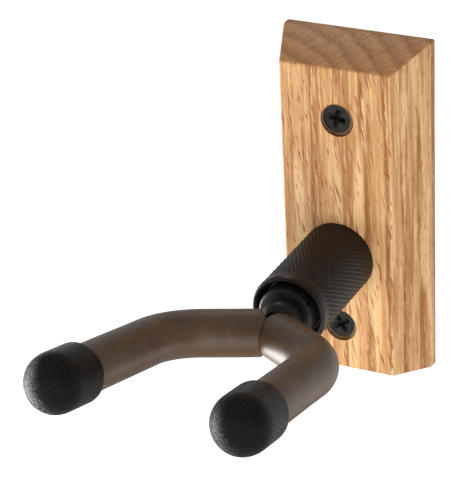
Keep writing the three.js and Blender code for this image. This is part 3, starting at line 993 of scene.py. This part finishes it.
def add_front_bush():
    low, high = box_mm("front_bush")
    flange = (high.z - low.z) / 2
    bore = STUD_RADIUS + STUD_CLEARANCE
    barrel = BUSH_RADIUS - PRESS_GAP
    profile = eased([
        (bore, low.y),
        (flange, low.y),
        (flange, low.y + BUSH_FLANGE),
        (barrel, low.y + BUSH_FLANGE),
        (barrel, high.y),
        (bore, high.y),
    ], RING_EASE, closed=True)
    bush = turned("bronze_front_bush", profile, BRONZE, closed=True)
    finish(bush, "front_bush", "base")


def add_disc_spring(node, rim_in_front):
    """Conical washer, with its rim towards the hub's mouth or towards the wall."""
    low, high = box_mm(node)
    rise = (high.y - low.y) - SPRING_SHEET
    inner, outer = STUD_RADIUS + WASHER_CLEARANCE, (high.z - low.z) / 2
    rim = low.y if rim_in_front else low.y + rise
    bore = low.y + rise if rim_in_front else low.y
    corners = [(inner, bore), (outer, rim), (outer, rim + SPRING_SHEET), (inner, bore + SPRING_SHEET)]
    profile = eased(corners, SPRING_EASE, closed=True)
    spring = turned(f"{node}_steel", profile, SPRING, closed=True)
    finish(spring, node, "yoke")


def add_stud():
    """Stud with a machine thread at its wall end, under the nut."""
    root = STUD_RADIUS - STUD_THREAD_DEPTH
    thread_start = STUD_HIGH.y - STUD_THREAD_LENGTH
    step = STUD_PITCH / SAMPLES_PER_STUD_TURN

    def radius_at(angle, along):
        from_nut_end = STUD_HIGH.y - along
        from_boss_end = along - STUD_LOW.y
        chamfer = min(0.0, from_nut_end - STUD_NUT_CHAMFER, from_boss_end - STUD_BOSS_CHAMFER)
        if along < thread_start:
            return STUD_RADIUS + chamfer
        turns = along / STUD_PITCH - angle / (2 * pi)
        height = abs(2 * (turns - math.floor(turns)) - 1)
        crest = root + (STUD_RADIUS - root) * min(1.0, height * STUD_CREST_CUT)
        return min(crest, STUD_RADIUS + chamfer)

    stations = [STUD_LOW.y, STUD_LOW.y + TINY, STUD_LOW.y + STUD_BOSS_CHAMFER]
    stations.append(thread_start - SMALL)
    rows = int(STUD_THREAD_LENGTH / step)
    stations += [thread_start + step * k for k in range(rows)]
    stations += [STUD_HIGH.y - TINY, STUD_HIGH.y]
    stud = threaded("zinc_stud", stations, radius_at, ZINC, HUB_AXIS)
    finish(stud, "pivot_stud", "yoke")


def nut_envelope(low, high, corner):
    """Outline that chamfers the hexagon's corners and leaves a rounded collar."""
    collar = high - NUT_COLLAR
    rim = corner + NUT_OVERSIZE
    return eased([
        (0, low),
        (corner - NUT_CHAMFER_REACH, low),
        (rim, low + NUT_CHAMFER),
        (rim, collar - NUT_CHAMFER_REACH),
        (NUT_COLLAR_RADIUS, collar),
        (NUT_COLLAR_RADIUS, high - NUT_CHAMFER_REACH),
        (NUT_COLLAR_TOP, high),
        (0, high),
    ], NUT_EASE)


def nut_bore(low, high):
    """Outline of the bore, with a chamfered mouth and a seat for the locking ring."""
    seat = high - NUT_COLLAR + INSERT_SEAT
    mouth = STUD_RADIUS + NUT_MOUTH_CLEARANCE
    bore = STUD_RADIUS + PRESS_GAP
    return [
        (0, low - SHORT_OVERCUT),
        (mouth, low - SHORT_OVERCUT),
        (mouth, low),
        (bore, low + NUT_CHAMFER),
        (bore, seat),
        (INSERT_SEAT_RADIUS, seat),
        (INSERT_SEAT_RADIUS, high + SHORT_OVERCUT),
        (0, high + SHORT_OVERCUT),
    ]


def add_lock_nut():
    """Hexagon nut with chamfered corners and a rounded collar rolled over the locking ring."""
    low, high = box_mm("lock_nut")
    corner = max((high.x - low.x) / 2, (high.z - low.z) / 2)
    blank = [(0, low.y), (corner, low.y), (corner, high.y), (0, high.y)]
    nut = turned("lock_nut_zinc", blank, ZINC, segments=6)
    envelope = turned("envelope", nut_envelope(low.y, high.y, corner), ZINC)
    boolean(nut, [envelope], "INTERSECT")
    boolean(nut, [turned("bore", nut_bore(low.y, high.y), ZINC)])
    finish(nut, "lock_nut", "yoke", crease=25)


def boss_profile():
    """Outline of the boss: neck, groove, rounded shoulder, side, and socket for the stud."""
    front = MOUTH_Y - BOSS_PROJECTION
    neck = front - NECK_LENGTH
    tip = BOSS_LOW.y
    groove = NECK_RADIUS - NECK_GROOVE
    socket_radius = STUD_RADIUS + STUD_CLEARANCE
    neck_end = eased([
        (0, tip),
        (NECK_TIP_RADIUS, tip),
        (NECK_RADIUS, neck),
        (NECK_RADIUS, front - NECK_GROOVE),
    ], NECK_EASE, steps=6)
    shoulder = eased([
        (groove, front),
        (BOSS_RADIUS, front + BOSS_CROWN),
        (BOSS_RADIUS, BOSS_HIGH.y),
    ], BOSS_SHOULDER, steps=10)
    socket = [
        (socket_radius, BOSS_HIGH.y),
        (socket_radius, front + STUD_SOCKET_FLOOR),
        (0, front + STUD_SOCKET_FLOOR),
    ]
    return neck_end + [(groove, front - NECK_GROOVE)] + shoulder + socket


def add_boss():
    """Turned boss with a neck, cut away where the rod lies across it."""
    boss = turned("gloss_boss", boss_profile(), GLOSS_BLACK)
    outside = BOSS_RADIUS + SHORT_OVERCUT
    tapped = radial_bar("tapped", [(0, 0), (TAPPED_RADIUS, 0), (TAPPED_RADIUS, outside), (0, outside)])
    boolean(boss, [rod_mesh("saddle", ROD_RADIUS + SADDLE_CLEARANCE), tapped])
    finish(boss, "swivel_boss", "yoke")


def radial_bar(name, profile, segments=32):
    """Bar turned about the set screw's radial line. The profile runs outwards from the hub's axis."""
    outwards = Vector((sin(SET_SCREW_ANGLE), 0, cos(SET_SCREW_ANGLE)))
    origin = Vector((0, SET_SCREW_Y, HUB_Z))
    return turned(name, profile, SCREW_BLACK, origin, outwards, segments)


def add_set_screw():
    top = BOSS_RADIUS - SET_SCREW_SUNK
    radius = SET_SCREW_RADIUS
    barrel = [(0, SET_SCREW_FOOT), (radius, SET_SCREW_FOOT), (radius, top), (0, top)]
    body = radial_bar("set_screw_black", eased(barrel, SET_SCREW_EASE))
    hexagon = [
        (0, top - HEX_POINT_DEPTH),
        (HEX_RADIUS, top - HEX_DEPTH),
        (HEX_RADIUS, top + SHORT_OVERCUT),
        (0, top + SHORT_OVERCUT),
    ]
    boolean(body, [radial_bar("socket", hexagon, segments=6)])
    finish(body, "boss_set_screw", "yoke")


# ---- yoke ----

OUT = Vector((0, -cos(YOKE_TILT), sin(YOKE_TILT)))
ACROSS = Vector((1, 0, 0))
YOKE_NORMAL = ACROSS.cross(OUT)


def in_yoke(point):
    """A point of the yoke's plane, (across, out), in the model's frame."""
    return YOKE_MIDDLE + ACROSS * point.x + OUT * point.y


class BentLine:
    """Straight lines through points of the yoke's plane, with an arc at each inner corner. Its parts
    are ("line", start, end, length) and ("arc", centre, first spoke, last spoke)."""

    def __init__(self, points, bends):
        self.parts = []
        here = points[0]
        for before, corner, after, bend in zip(points, points[1:], points[2:], bends):
            back = (before - corner).normalized()
            on = (after - corner).normalized()
            half = back.angle(on) / 2
            reach = bend / math.tan(half)
            centre = corner + (back + on).normalized() * bend / sin(half)
            enter, leave = corner + back * reach, corner + on * reach
            self.parts.append(("line", here, enter, (enter - here).length))
            self.parts.append(("arc", centre, enter - centre, leave - centre))
            here = leave
        self.parts.append(("line", here, points[-1], (points[-1] - here).length))
        self.length = sum(self.part_length(part) for part in self.parts)

    @staticmethod
    def part_length(part):
        if part[0] == "line":
            return part[3]
        return part[2].length * part[2].angle(part[3])

    def at(self, distance):
        """The point and the direction at a distance along the line."""
        for index, part in enumerate(self.parts):
            length = self.part_length(part)
            if distance <= length or index == len(self.parts) - 1:
                break
            distance -= length
        if part[0] == "line":
            direction = (part[2] - part[1]).normalized()
            return part[1] + direction * distance, direction
        _, centre, first, last = part
        sign = 1 if first.cross(last) > 0 else -1
        turn = Matrix.Rotation(sign * distance / first.length, 2)
        spoke = turn @ first
        direction = Vector((-spoke.y, spoke.x)).normalized() * sign
        return centre + spoke, direction


def along_line(name, line, profile, material, segments, closed=False, bulge=None):
    """Round section carried along a line of the yoke's plane. The profile is (radius, distance), and
    bulge(angle, distance) may add to the radius of a tube's outer skin."""
    rings = []
    for radius, distance in profile:
        centre, direction = line.at(distance)
        side = Vector((-direction.y, direction.x))
        sideways = ACROSS * side.x + OUT * side.y
        outer_skin = radius > (TUBE_BORE + TUBE_RADIUS) / 2
        ring = []
        for angle in angles(1 if radius < ON_AXIS else segments):
            spoke = sideways * cos(angle) + YOKE_NORMAL * sin(angle)
            reach = radius + (bulge(angle, distance) if bulge and outer_skin else 0)
            ring.append(in_yoke(centre) + spoke * reach)
        rings.append(ring)
    return ring_mesh(name, rings, material, closed)


def mirrored(point, side):
    return Vector((side * point.x, point.y))


def rod_mesh(name, radius):
    """The bent rod, or a cutter of the same shape, with eased ends."""
    middle = Vector((0, 0))
    points = [mirrored(TIP, -1), mirrored(ELBOW, -1), middle, ELBOW, TIP]
    line = BentLine(points, [ELBOW_BEND, MIDDLE_BEND, ELBOW_BEND])
    end = [(0, 0)] + [(radius - cut, distance) for cut, distance in ROD_END_CUTS]
    side = [(radius, line.length * k / ROD_STEPS) for k in range(1, ROD_STEPS)]
    far_end = [(r, line.length - distance) for r, distance in reversed(end)]
    return along_line(name, line, end + side + far_end, GLOSS_BLACK, ROD_SEGMENTS)


def add_rod():
    finish(rod_mesh("gloss_rod", ROD_RADIUS), "yoke_rod", "yoke")


def tube_bulge(side):
    """Slight unevenness of soft tubing pushed over a bent rod: a slow sway, an oval that turns
    along the tube, and a mean that is a little under the tube's radius."""
    def bulge(angle, distance):
        sway = sin(distance * SWAY_RATE + side) * cos(angle + distance * SWAY_TURN)
        oval = sin(2 * angle + distance * OVAL_TURN + 2 * side)
        return SWAY_HEIGHT * sway + OVAL_HEIGHT * oval - BULGE_UNDER
    return bulge


def tube_profile(length):
    """Closed outline of a tube's wall, (radius, distance), with rounded outer edges."""
    span = length - 2 * TUBE_EDGE
    outer = [(TUBE_RADIUS, TUBE_EDGE + span * k / TUBE_STEPS) for k in range(TUBE_STEPS + 1)]
    bore = [(TUBE_BORE, length * k / BORE_STEPS) for k in range(BORE_STEPS, -1, -1)]
    mouth = [(TUBE_RADIUS - TUBE_EDGE * cut, TUBE_EDGE * distance) for cut, distance in TUBE_ROUND]
    far = [(radius, length - distance) for radius, distance in reversed(mouth)]
    return mouth + outer + far + bore


def seam_cutter(side):
    """Cube over the yoke's other half and a little past the middle, which leaves a fine seam."""
    half = CUTTER_SIZE / 2
    middle = side * (TUBE_SEAM - half)
    corners = [(middle + x * half, CUTTER_Y + y * half, HUB_Z + z * half)
               for x in (-1, 1) for y in (-1, 1) for z in (-1, 1)]
    faces = [[0, 1, 3, 2], [4, 6, 7, 5], [0, 4, 5, 1], [2, 3, 7, 6], [0, 2, 6, 4], [1, 5, 7, 3]]
    return mesh_object("seam_cutter", corners, faces, TUBE_BROWN)


def add_arm_tube(name, side):
    """Tube cut square near the middle of the yoke, its front edge butting on the other tube."""
    start = ELBOW.normalized() * TUBE_START
    line = BentLine([mirrored(start, side), mirrored(ELBOW, side), mirrored(TIP, side)], [ELBOW_BEND])
    tube = along_line(f"{name}_tube_brown", line, tube_profile(line.length), TUBE_BROWN,
                      TUBE_SEGMENTS, closed=True, bulge=tube_bulge(side))
    boolean(tube, [seam_cutter(side)])
    finish(tube, f"{name}_arm_tube", "yoke", crease=40)


def cap_profile():
    """Outline of the cap: bore floor, bore, rounded rim, straight skirt and flattened dome."""
    bore = TUBE_RADIUS + CAP_CLEARANCE
    outline = [(0, CAP_BORE_END), (bore, CAP_BORE_END), (bore, -CAP_SKIRT + CAP_MOUTH)]
    for k in range(CAP_RIM_STEPS + 1):
        angle = k / CAP_RIM_STEPS * pi / 2
        radius = CAP_RADIUS - CAP_RIM + CAP_RIM * sin(angle)
        outline.append((radius, -CAP_SKIRT + CAP_RIM * (1 - cos(angle))))
    for k in range(1, CAP_SKIRT_STEPS):
        along = -CAP_SKIRT + CAP_RIM + (CAP_SKIRT - CAP_RIM) * k / CAP_SKIRT_STEPS
        outline.append((CAP_RADIUS, along))
    for k in range(DOME_STEPS + 1):
        height = sin(k / DOME_STEPS * pi / 2)
        width = max(0.0, 1 - height ** DOME_POWER) ** (1 / DOME_POWER)
        outline.append((CAP_RADIUS * width, CAP_DOME * height))
    return outline


def add_end_cap(name, side):
    elbow, tip = mirrored(ELBOW, side), mirrored(TIP, side)
    along = tip - elbow
    axis = (ACROSS * along.x + OUT * along.y).normalized()
    cap = turned(f"{name}_cap_rubber", cap_profile(), CAP_RUBBER, in_yoke(tip), axis)
    finish(cap, f"{name}_end_cap", "yoke", crease=50)


# ---- assembly ----

add_block()
add_wall_screw("upper_wall_screw", radians(12))
add_wall_screw("lower_wall_screw", radians(-32))
add_hub()
add_front_bush()
add_ring("bronze_rear_bush", "rear_bush", "base", BRONZE, STUD_CLEARANCE)
add_ring("nylon_thrust_washer", "thrust_washer", "yoke", BLACK_NYLON)
add_boss()
add_set_screw()
add_stud()
add_ring("zinc_block_washer", "block_washer", "base", ZINC)
add_disc_spring("inner_disc_spring", True)
add_disc_spring("outer_disc_spring", False)
add_ring("zinc_nut_washer", "nut_washer", "yoke", ZINC)
add_lock_nut()
add_ring("nylon_insert", "lock_nut_insert", "yoke", NYLON, INSERT_CLEARANCE)
add_rod()
for arm, side in (("left", -1), ("right", 1)):
    add_arm_tube(arm, side)
    add_end_cap(arm, side)


# ---- floor and light ----

# The floor's height and size are in metres, and the distances of its paint in millimetres.
FLOOR_Z = -0.6
FLOOR_SIZE = 40
FLOOR_DIM = 560
FLOOR_BRIGHT = 720
FLOOR_GREY = (0.5, 0.5, 0.5, 1)
FLOOR_PALE = (0.92, 0.92, 0.92, 1)
FLOOR_GLOW = 0.72
WORLD_STRENGTH = 0.36


def floor_paint():
    """Pale grey under the object, so that its undersides stay dim, and white farther out."""
    shader = Shader("floor_white")
    distance = shader.vector("LENGTH", shader.stretched(1, 1, 0))
    outwards = shader.fade(distance, FLOOR_DIM, FLOOR_BRIGHT)
    shader.set(
        Base_Color=shader.mix(outwards, FLOOR_GREY, FLOOR_PALE),
        Roughness=0.9,
        Emission_Color=(1, 1, 1, 1),
        Emission_Strength=shader.times(outwards, FLOOR_GLOW),
    )
    return shader.material


def add_floor():
    half = FLOOR_SIZE / 2
    corners = [(x * half, y * half, FLOOR_Z) for x, y in ((-1, -1), (1, -1), (1, 1), (-1, 1))]
    mesh = bpy.data.meshes.new("floor")
    mesh.from_pydata(corners, [], [(0, 1, 2, 3)])
    mesh.materials.append(floor_paint())
    new_object("floor", mesh)


def add_softbox(name, azimuth, elevation, distance, power, width=0.5, height=0.5):
    """Rectangular light that faces the hub's mouth, from an azimuth and an elevation in degrees."""
    data = bpy.data.lights.new(name, "AREA")
    data.shape = "RECTANGLE"
    data.size = width
    data.size_y = height
    data.energy = power
    light = new_object(name, data)
    light.visible_camera = False
    direction = direction_at(radians(azimuth), radians(elevation))
    light.location = Vector((0, MOUTH_Y, HUB_Z)) * MM + direction * distance
    light.rotation_mode = "QUATERNION"
    light.rotation_quaternion = (-direction).to_track_quat("-Z", "Y")


def add_world():
    world = bpy.data.worlds.new("world")
    bpy.context.scene.world = world
    world.use_nodes = True
    background = world.node_tree.nodes["Background"]
    background.inputs["Color"].default_value = (1, 1, 1, 1)
    background.inputs["Strength"].default_value = WORLD_STRENGTH


add_world()
add_floor()
add_softbox("key", azimuth=-42, elevation=-8, distance=1.1, power=3.5)
add_softbox("fill", azimuth=26, elevation=-4, distance=1.3, power=10.3)
add_softbox("right", azimuth=105, elevation=10, distance=1.1, power=0.3)
add_softbox("left", azimuth=-92, elevation=-23, distance=0.9, power=12.0, width=0.35, height=0.55)
add_softbox("rim", azimuth=-150, elevation=45, distance=1.1, power=2.1, width=0.4, height=0.4)
bpy.context.scene.view_settings.view_transform = "Standard"
